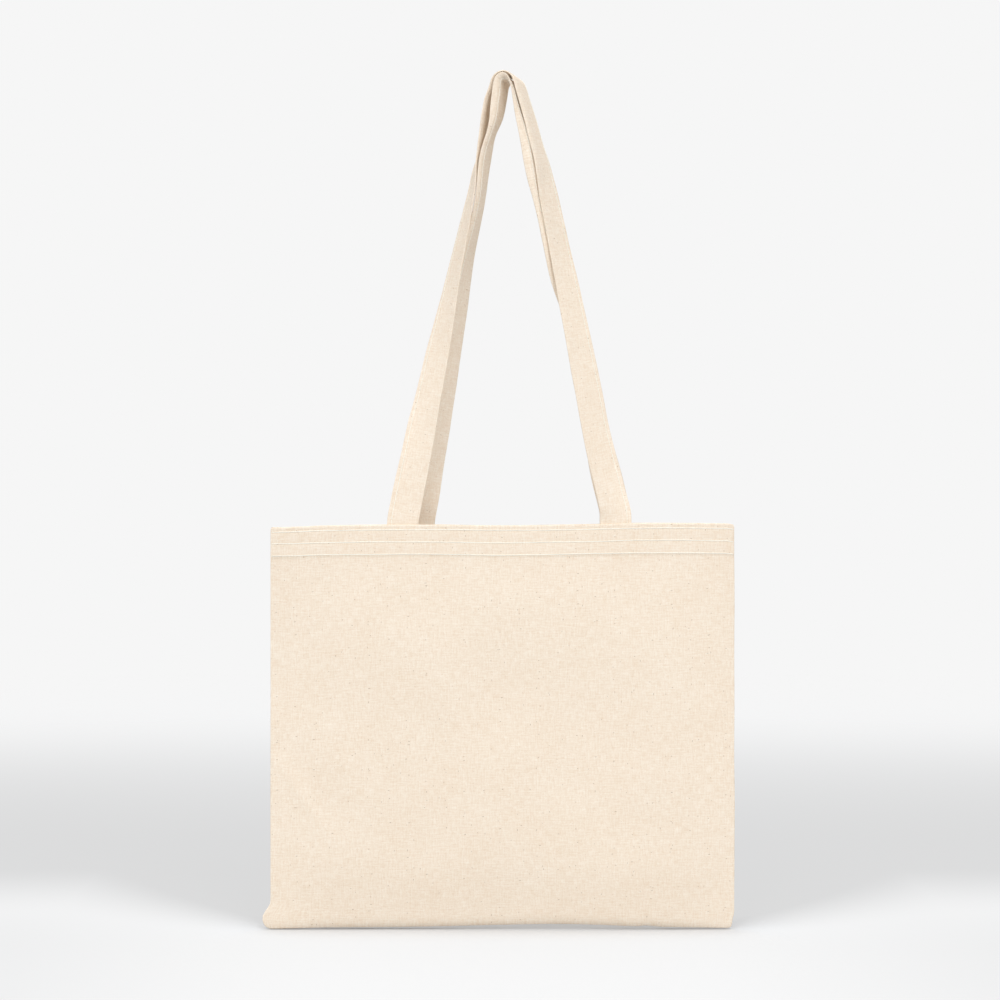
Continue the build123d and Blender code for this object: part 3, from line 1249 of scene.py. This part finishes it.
@dataclass
class Handle:
    """One handle: a strap of folded canvas, topstitched near its outer edge.

    It is sewn in behind the hem at both ends. Its legs rise from the mouth to a bend over the hang point,
    and its width turns and curls on the way.
    """

    name: str
    face: Face
    drape: Drape
    seed: int
    left: Leg
    loop: Loop
    right: Leg
    width: float = 27 * MM
    thickness: float = 1.6 * MM
    end_length: float = 25.5 * MM
    step: float = 1.5 * MM
    end_points: int = 26
    foot_points: int = 12
    leg_points: int = 360
    arc_points: int = 60
    line_reach: int = 3
    turn_reach: int = 6
    tilt_spread: float = 14 * MM
    # The section: its corners, how square its faces and edges are, and how its curl is kept to the edges.
    section_points: int = 44
    face_power: float = 0.55
    edge_power: float = 0.3
    curl_power: float = 6
    # The strap's own waves, of its face and of its edges, which start above the mouth.
    wave: float = 0.28 * MM
    wave_cell: tuple = (22 * MM, 11 * MM)
    flutter: float = 0.45 * MM
    flutter_cell: tuple = (30 * MM, 60 * MM)
    flutter_side: float = 0.2
    wave_start: float = 20 * MM
    # The row of topstitching: its place from the outer edge, and how far it pulls the face in.
    edge_row: float = 3.8 * MM
    row_pull: float = 0.28
    row_width: float = 1.1 * MM
    thread: float = 0.33 * MM
    bend_start: float = -2 * MM
    bend_end: float = 16 * MM
    sewing: Sewing = Sewing(stitch=2.9 * MM)

    @property
    def row(self) -> float:
        """Place of the topstitching across the strap, from its middle."""
        return self.edge_row - 0.5 * self.width

    def rise(self, leg: Leg) -> np.ndarray:
        """Points up one leg, from its sewn-in end to the start of the bend.

        Flat behind the hem, square to the mouth for a little, then to the point where its line touches the
        bend's circle: straight, but for the leg's bends.

        Args:
            leg: which leg.

        Returns:
            The points, about a millimetre apart.
        """
        s, loop = self.drape.sizes, self.loop
        down = np.linspace(self.end_length, 0, self.end_points)
        sewn = self.drape.lay(leg.foot, s.mouth - down, self.face, s.strap_depth, 0.0)
        start = sewn[-1] + np.array([0, 0, leg.foot_rise])
        share = np.linspace(0, 1, self.foot_points)[1:-1, None]
        foot = sewn[-1] * (1 - share) + start * share
        reach, height = abs(loop.level(start[0])), loop.centre_z - start[2]
        lean = math.atan2(reach, height) - math.asin(loop.radius / math.hypot(reach, height))
        end = loop.at(lean if leg.side is Side.RIGHT else math.pi - lean)
        line = start + (end - start) * np.linspace(0, 1, self.leg_points)[:, None]
        heights, outs, backs = zip(*leg.bends)
        above = (line[:, 2] - s.mouth) / MM
        line[:, 0] += leg.side.value * MM * through(above, tuple(zip(heights, outs)))
        line[:, 1] += MM * through(above, tuple(zip(heights, backs)))
        return np.concatenate([sewn, foot, line])

    def course(self) -> Course:
        """The strap's course from end to end.

        The two legs and the arc between them, read at even steps and eased; the width follows the turns,
        square to the line, and tilts over the top.

        Returns:
            The course, with width directions from the outer edge to the inner one.
        """
        loop = self.loop
        left, right = self.rise(self.left), self.rise(self.right)[::-1]
        angle = np.linspace(loop.angle(left[-1]), loop.angle(right[0]), self.arc_points)[1:-1]
        rough = np.concatenate([left, loop.at(angle), right])
        along = lengths(*rough.T)
        at = np.linspace(0, along[-1], round(along[-1] / self.step) + 1)
        line = read(at, along, rough)
        line = softened(softened(line, self.line_reach), self.line_reach)

        def eased(left: Stations, top: float, right: Stations) -> np.ndarray:
            """Values along the strap, from those at its stations."""
            stations = self.stations(along, rough[:, 2], left, top, right)
            return softened(through(at, stations), self.turn_reach)

        heading = np.radians(eased(self.left.turns, loop.turn, self.right.turns))
        crest = ridge(line[:, 2] - line[:, 2].max(), self.tilt_spread)
        tilt = math.tan(math.radians(loop.tilt)) * crest
        across = np.stack([np.cos(heading), np.sin(heading), -np.sign(np.sin(heading)) * tilt], axis=1)
        tangent = unit(np.gradient(line, axis=0))
        across = unit(across - (across * tangent).sum(1, keepdims=True) * tangent)
        curl = -self.face.value * MM * eased(self.left.curls, loop.curl, self.right.curls)
        return Course(line, across, at, curl)

    def stations(
        self, along: np.ndarray, height: np.ndarray, left: Stations, top: float, right: Stations
    ) -> Stations:
        """Stations along the strap from values given by height on each leg.

        Args:
            along: distances along the strap.
            height: the strap's height at each.
            left: heights above the mouth and values up the left leg.
            top: the value at the top of the bend.
            right: heights and values down the right leg.

        Returns:
            Pairs of distance along and value, from end to end.
        """
        peak = int(np.argmax(height))

        def on_leg(part: slice, values: Stations) -> list[tuple[float, float]]:
            """Distances and values on one leg, read by its heights in rising order.

            Args:
                part: the leg's part of the strap.
                values: heights above the mouth and values.

            Returns:
                Pairs of distance along and value.
            """
            order = np.argsort(height[part], kind="stable")
            above = self.drape.sizes.mouth + np.array([h for h, _ in values]) * MM
            places = np.interp(above, height[part][order], along[part][order])
            return [(place, value) for place, (_, value) in zip(places, values)]

        up, down = on_leg(slice(None, peak), left), on_leg(slice(peak, None), right)
        return ((0.0, left[0][1]), *up, (along[peak], top), *down, (along[-1], right[-1][1]))

    def section(self) -> tuple[np.ndarray, np.ndarray]:
        """The strap's outline cut square across.

        Flat faces with round folded edges, a power of the cosine and sine round the outline; pulled in along
        the row of topstitching.

        Returns:
            Places from the outer edge to the inner one about the middle, and off the middle layer.
        """
        angle = np.linspace(0, 2 * math.pi, self.section_points + 1)[:-1]
        flat = np.sign(np.cos(angle)) * np.abs(np.cos(angle)) ** self.face_power
        tall = np.sign(np.sin(angle)) * np.abs(np.sin(angle)) ** self.edge_power
        place = 0.5 * self.width * flat
        pulled = 1 - self.row_pull * ridge(place - self.row, self.row_width)
        return place, 0.5 * self.thickness * tall * pulled

    def at(self, place: np.ndarray, off: np.ndarray, course: Course) -> np.ndarray:
        """Points of the strap.

        Args:
            place: places across, one per column or one per step.
            off: distances off the middle layer, the same.
            course: the strap's course.

        Returns:
            The points, curled across by a high power and moved a little by the strap's own waves.
        """
        waves, flutters = Ripple(self.seed, *self.wave_cell), Ripple(self.seed + 1, *self.flutter_cell)
        place, off = np.broadcast_arrays(place, off)
        line, along = course.line[:, None], course.along[:, None]
        out = 2 * place / self.width
        free = ease((line[..., 2] - self.drape.sizes.mouth) / self.wave_start)
        rise = self.wave * waves.at(along, place) * free + course.curl[:, None] * (1 - out**self.curl_power)
        shift = self.flutter * flutters.at(along, np.sign(place) * self.flutter_side) * free * out**2
        across = (place + shift)[..., None] * course.across[:, None]
        return line + across + (off + rise)[..., None] * course.over()[:, None]

    def strap(self, course: Course, canvas: bpy.types.Material) -> bpy.types.Object:
        """Makes the strap.

        Args:
            course: its course.
            canvas: its cloth.

        Returns:
            The strap.
        """
        place, off = self.section()
        points = self.at(place[None, :], off[None, :], course)
        shift = lengths(np.append(place, place[0]), np.append(off, off[0]))
        uv = chart(shift, course.along)
        made = surface(f"{self.name}_strap", points, uv, closed=True, capped=True, flip=True)
        nodes = [self.name, f"{self.name}_left_end", f"{self.name}_right_end"]
        return dressed(made, canvas, nodes, body=None)

    def topstitching(self, course: Course, thread: bpy.types.Material) -> bpy.types.Object:
        """Makes the row of topstitching, a thread on either face of the strap.

        Args:
            course: the strap's course.
            thread: the thread's material.

        Returns:
            The thread.
        """
        fine = course.finer(self.sewing.places(0, course.along[-1]))
        face = 0.5 * self.thickness * (1 - self.row_pull) + self.sewing.lift(fine.along)
        row = np.full((len(face), 1), self.row)
        lines = [self.at(row, (side * face)[:, None], fine)[:, 0] for side in (1, -1)]
        made = tube(f"{self.name}_edge_thread", lines, self.thread, [fine.over(), -fine.over()])
        return dressed(made, thread, [f"{self.name}_edge_stitching"], body=None)

    def build(self, canvas: bpy.types.Material, thread: bpy.types.Material) -> list[bpy.types.Object]:
        """Makes the strap and its row of topstitching, with their placing baked into their meshes.

        Args:
            canvas: the strap's cloth.
            thread: the thread's material.

        Returns:
            The strap and the thread.
        """
        course = self.course()
        strap, stitches = self.strap(course, canvas), self.topstitching(course, thread)
        for piece in (strap, stitches):
            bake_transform(piece)
        return [strap, stitches]


@dataclass
class Hem:
    """Three rows of stitching along a panel's hem, outside, and inside over the ends of the strap."""

    strap: Handle
    sewing: Sewing = Sewing()
    thread: float = 0.44 * MM
    end_inset: float = 1.2 * MM
    inside_end: float = 11 * MM
    wander: float = 0.35 * MM
    wander_length: float = 38 * MM
    wander_seed: int = 50
    # How far a strap end lifts the inside thread, and how soon before its edge.
    strap_lift: float = 1.9 * MM
    lift_ease: float = 1.6 * MM
    lift_lead: float = 0.9

    def over_strap(self, x: np.ndarray) -> np.ndarray:
        """1 where the strap's ends lie behind the hem and 0 elsewhere, eased at their edges."""
        off = np.minimum(np.abs(x - self.strap.left.foot), np.abs(x - self.strap.right.foot))
        return ease((0.5 * self.strap.width - off) / self.lift_ease + self.lift_lead)

    def build(self, thread: bpy.types.Material) -> list[bpy.types.Object]:
        """Makes the panel's rows.

        Args:
            thread: the thread's material.

        Returns:
            The rows' threads.
        """
        face, drape = self.strap.face, self.strap.drape
        s = drape.sizes
        facing = np.array([0.0, face.value, 0.0])
        outer = self.sewing.places(self.end_inset - s.half_width, s.half_width - self.end_inset)
        inner = self.sewing.places(self.inside_end - s.half_width, s.half_width - self.inside_end)
        behind = 3 * s.canvas + self.strap_lift * self.over_strap(inner) + self.sewing.lift(inner)
        rows = []
        for number, (row, drop) in enumerate(s.hem_rows):
            wander = Ripple(self.wander_seed + 10 * number + face.value, self.wander_length, 1.0)
            lines = []
            for x, depth in ((outer, -self.sewing.lift(outer)), (inner, behind)):
                z = s.mouth - drop + self.wander * wander.at(x, np.zeros_like(x))
                lines.append(drape.lay(x, z, face, depth, 0.0))
            made = tube(f"{face.word}_hem_{row}_thread", lines, self.thread, [facing, -facing])
            rows.append(dressed(made, thread, [f"{face.word}_hem_{row}_row"]))
        return rows


def handles(drape: Drape) -> list[Handle]:
    """The two handles: the front strap's loop lies outside the rear strap's at the hang point.

    Args:
        drape: how the bag hangs.

    Returns:
        The front handle and the rear one.
    """
    front_left = Leg(
        side=Side.LEFT, foot=-85.5 * MM, foot_rise=4 * MM,
        bends=((0, 0, 0), (100, 0.4, 0), (190, 0.5, 0), (280, 0.4, 0), (297, 1.2, 0), (310, 2.3, 0),
               (322, 1.8, 0), (336, 1.6, 0), (352, 2.2, 0), (364, 2.4, 0), (376, 0, 0)),
        turns=((0, 0), (64, -11), (107, -31), (150, -43), (194, -57), (263, -72), (280, -75), (297, -79),
               (312, -86), (325, -94), (340, -99), (355, -102), (372, -104)),
        curls=((0, 0), (230, 0), (300, 1.8), (370, 2.4)),
    )
    front_right = Leg(
        side=Side.RIGHT, foot=97.0 * MM, foot_rise=12 * MM,
        bends=((0, 0, 0), (30, -0.9, 0), (75, -1.6, -0.3), (120, -0.2, -1), (155, 0.9, -1), (185, 1.6, 0.5),
               (215, 2.4, 1.5), (240, 2.8, 2), (280, 3.4, 1.5), (310, 4, 1), (330, 2.6, 0.5), (350, 1.8, 0),
               (365, 0.8, 0), (376, 0, 0)),
        turns=((384, -112), (366, -112), (350, -113), (332, -115), (310, -120), (280, -128), (237, -134),
               (211, -139), (184, -142), (150, -146), (107, -150), (64, -155), (20, -167), (0, -180)),
        curls=((376, -1.2), (330, -1.4), (290, 0), (0, 0)),
    )
    rear_left = Leg(
        side=Side.LEFT, foot=-72.2 * MM, foot_rise=4 * MM,
        bends=((0, 0, 0), (45, -0.4, 0), (95, -1, 1), (150, -0.1, 3), (190, 0.3, 4), (230, 0.4, 3.8),
               (260, -0.6, 2.8), (275, -1, 1.8), (287, -0.6, 0.8), (300, 0.5, -0.4), (314, 1.1, -1.1),
               (325, 0.9, -1.1), (336, 0.2, -0.8), (350, -0.8, -0.4), (365, -0.4, 0), (376, 0, 0)),
        turns=((0, 0), (14, 4), (45, 26), (95, 40), (150, 49), (184, 55), (211, 63), (237, 70), (263, 75),
               (285, 77), (300, 75), (314, 73), (325, 75.5), (336, 80), (346, 77), (355, 72), (368, 70)),
        curls=((0, 0), (130, 0), (220, 1.6), (300, 2.6), (338, 2.6), (352, 5.0), (370, 5.4)),
    )
    rear_right = Leg(
        side=Side.RIGHT, foot=97.8 * MM, foot_rise=10 * MM,
        bends=((0, 0, 0), (60, -0.4, 0.5), (100, -0.4, 1.5), (130, -0.4, 2.2), (155, -0.6, 2),
               (185, -1.2, -0.5), (200, -1.4, -2), (215, -1.3, -3), (240, -0.4, -4), (258, -0.3, -3.6),
               (280, -1.4, -3), (295, -2.8, -2.5), (310, -3.4, -2), (325, -3.3, -1), (345, -3.7, -0.3),
               (362, -2.5, 0), (376, 0, 0)),
        turns=((384, 62), (376, 67), (362, 72), (345, 72), (325, 67), (310, 63), (295, 59), (280, 56),
               (258, 52), (237, 50), (215, 51), (200, 58), (185, 68), (170, 80), (155, 91), (140, 102),
               (120, 116), (100, 130), (64, 152), (21, 176), (0, 180)),
        curls=((376, 0.6), (368, -1), (358, -2.4), (345, -4.6), (325, -6), (310, -5.8), (295, -4.6),
               (280, -2.6), (258, -2), (237, -2.6), (215, -3.2), (200, -3.8), (185, -2.4), (165, 0),
               (0, 0)),
    )
    outer = Loop(x=3.7 * MM, y=0.0, top=1.5 * MM, radius=12.0 * MM, yaw=20, tilt=5.5, turn=-106, curl=0.8)
    inner = Loop(x=4.5 * MM, y=-5.0 * MM, top=-1.2 * MM, radius=7.7 * MM, yaw=18, tilt=7, turn=67, curl=3.4)
    return [
        Handle("front_handle", Face.FRONT, drape, 71, front_left, outer, front_right),
        Handle("rear_handle", Face.BACK, drape, 81, rear_left, inner, rear_right),
    ]


# The studio


@dataclass
class Studio:
    """Pale floor, soft light and the camera. Pairs are where a change over the floor starts and ends."""

    floor_z: float = BagSizes().bottom
    camera_x: float = -2.2 * MM
    camera_z: float = -366.3 * MM
    distance: float = 2.0
    frame_width: float = 0.864
    sensor: float = 36.0
    world_above: float = 1.17
    world_aside: float = 0.15
    world_below: float = 0.26
    world_slope: float = 2.5
    world_start: float = 0.1
    background: tuple = colour(246, 246, 246)
    floor_light: tuple = colour(248, 248, 248)
    # The floor's darker colour, for the painted shadow behind the bag and the painted shade towards the sides.
    floor_painted_shade: tuple = colour(221, 221, 221)
    floor_cool: tuple = (0.77, 0.78, 0.795, 1.0)
    floor_bounce: tuple = (0.6, 0.6, 0.6, 1.0)
    floor_plain: float = 0.75
    floor_radius: float = 3.2
    floor_rim: tuple = (1.2, 3.1)
    floor_points: int = 41
    bag_half: float = BagSizes().half_width
    plain_reach: float = 0.07
    # The painted shadow of the bag behind it: how far beside the bag it reaches, its soft edge, how that edge
    # widens, and where it fades out behind.
    shadow_beside: float = 0.2
    shadow_soft: float = 0.04
    shadow_spread: float = 0.5
    shadow_back: tuple = (0.45, 2.2)
    # Painted shade darkening the floor towards both sides in front of the bag.
    side_shade_across: tuple = (0.1, 0.5)
    side_shade_back: tuple = (-0.1, 0.3)
    side_shade_share: float = 0.4
    lamp_aim: float = -0.4
    lamp_azimuth: float = 22
    lamp_height: float = 35
    lamp_distance: float = 3.2
    lamp_size: float = 1.4
    left_watts: float = 15
    right_watts: float = 27

    def camera(self) -> None:
        """Sets the camera level, straight in front, with the frame's width at the bag's middle plane."""
        data = bpy.data.cameras.new("camera")
        data.sensor_width = self.sensor
        data.lens = self.sensor * self.distance / self.frame_width
        made = bpy.data.objects.new("camera", data)
        made.location = (self.camera_x, -self.distance, self.camera_z)
        made.rotation_euler = (math.radians(90), 0, 0)
        bpy.context.scene.collection.objects.link(made)
        bpy.context.scene.camera = made

    def floor_paint(self) -> bpy.types.Material:
        """Makes the floor's paint: pale, with a painted shadow of the bag behind it and painted shade towards
        the sides, fading out all round.

        The camera sees it lit where the bag stands, for its shadow, and partly as a plain pale colour
        elsewhere; as a source of light it is a middling grey.

        Returns:
            The material.
        """
        paint = bpy.data.materials.new("floor_paint")
        paint.use_nodes = True
        g = Graph(paint.node_tree)
        across, back, _ = g.parts(g.out(g.node("ShaderNodeTexCoord"), "Object"))
        beside = (abs(across) - self.bag_half).bounded(self.shadow_beside)
        soft = beside * self.shadow_spread + self.shadow_soft
        # Painted shadow of the bag on the floor behind it, its edge softer further out to either side.
        painted_shadow = g.between(back - beside, soft * -1.0, soft) * (1 - g.between(back, *self.shadow_back))
        # Painted shade: the floor darker towards both sides in front of the bag.
        aside = g.between(abs(across), *self.side_shade_across) * (1 - g.between(back, *self.side_shade_back))
        tone = g.mix((painted_shadow + aside * self.side_shade_share).bounded(), self.floor_light, self.floor_painted_shade)
        lit = g.node("ShaderNodeBsdfDiffuse", Color=g.mix(1.0, tone, self.floor_cool, "MULTIPLY"))
        plain = g.node("ShaderNodeEmission", Color=tone, Strength=1.0)
        away = g.math("MAXIMUM", abs(back), abs(across) - self.bag_half)
        shown = g.layered(g.between(away, 0.0, self.plain_reach) * self.floor_plain, lit, plain)
        grey = g.node("ShaderNodeBsdfDiffuse", Color=self.floor_bounce)
        solid = g.layered(g.out(g.node("ShaderNodeLightPath"), "Is Camera Ray"), grey, shown)
        rim = g.between(g.math("SQRT", across * across + back * back), *self.floor_rim)
        mixed = g.layered(rim, solid, g.node("ShaderNodeBsdfTransparent"))
        g.node("ShaderNodeOutputMaterial", Surface=g.out(mixed))
        return paint

    def floor(self) -> None:
        """Makes the floor, a flat sheet under the bag."""
        side = np.linspace(-self.floor_radius, self.floor_radius, self.floor_points)
        x, y = np.meshgrid(side, side)
        points = np.stack([x, y, np.full_like(x, self.floor_z)], axis=2)
        made = surface("floor", points, points[..., :2])
        made.data.materials.append(self.floor_paint())

    def world(self) -> None:
        """Soft light, stronger from above and a little from the left, behind a pale background.

        The camera and mirrored or refracted rays see the background; all other rays see the light.
        """
        made = bpy.data.worlds.new("studio")
        made.use_nodes = True
        bpy.context.scene.world = made
        g = Graph(made.node_tree)
        ray = g.node("ShaderNodeLightPath")
        seen = g.out(ray, "Is Camera Ray") + g.out(ray, "Is Glossy Ray") + g.out(ray, "Is Transmission Ray")
        aside, _, up = g.parts(g.out(g.node("ShaderNodeTexCoord"), "Generated"))
        above = (up * self.world_slope - self.world_start).bounded()
        level = above * (self.world_above - self.world_below) + self.world_below
        level = level * (1 - aside * self.world_aside)
        light = g.node("ShaderNodeBackground", Color=(1, 1, 1, 1), Strength=level)
        shown = g.node("ShaderNodeBackground", Color=self.background, Strength=1.0)
        g.node("ShaderNodeOutputWorld", Surface=g.out(g.layered(seen.bounded(), light, shown)))

    def lamp(self, side: Side, watts: float) -> None:
        """Adds a square soft box, high on one side in front of the bag and facing it.

        Args:
            side: which side.
            watts: its power.
        """
        turn, high = side.value * math.radians(self.lamp_azimuth), math.radians(self.lamp_height)
        flat = self.lamp_distance * math.cos(high)
        rise = self.lamp_distance * math.sin(high)
        aim = Vector((0, 0, self.lamp_aim))
        place = Vector((flat * math.sin(turn), -flat * math.cos(turn), rise + self.lamp_aim))
        data = bpy.data.lights.new(f"{side.word}_box", "AREA")
        data.size = self.lamp_size
        data.energy = watts
        made = bpy.data.objects.new(data.name, data)
        made.location = place
        made.rotation_euler = (aim - place).to_track_quat("-Z", "Y").to_euler()
        bpy.context.scene.collection.objects.link(made)

    def build(self) -> None:
        """Sets up the whole studio."""
        self.camera()
        self.floor()
        self.world()
        self.lamp(Side.LEFT, self.left_watts)
        self.lamp(Side.RIGHT, self.right_watts)
        bpy.context.scene.view_settings.view_transform = "Standard"


def main() -> None:
    """Builds the studio and every piece of the bag, in order."""
    logging.basicConfig(level=logging.INFO, format="%(name)s: %(message)s")
    Studio().build()
    canvas, thread = CanvasFinish().material(), ThreadFinish().material()
    drape = Drape()
    straps = handles(drape)
    pieces = [Panel(face, drape).build(canvas) for face in Face]
    for strap in straps:
        pieces += Hem(strap).build(thread)
    pieces += Seams(drape).build(thread)
    for strap in straps:
        pieces += strap.build(canvas, thread)
    for piece in pieces:
        log.info("made %s", piece.name)


if __name__ == "__main__":
    main()
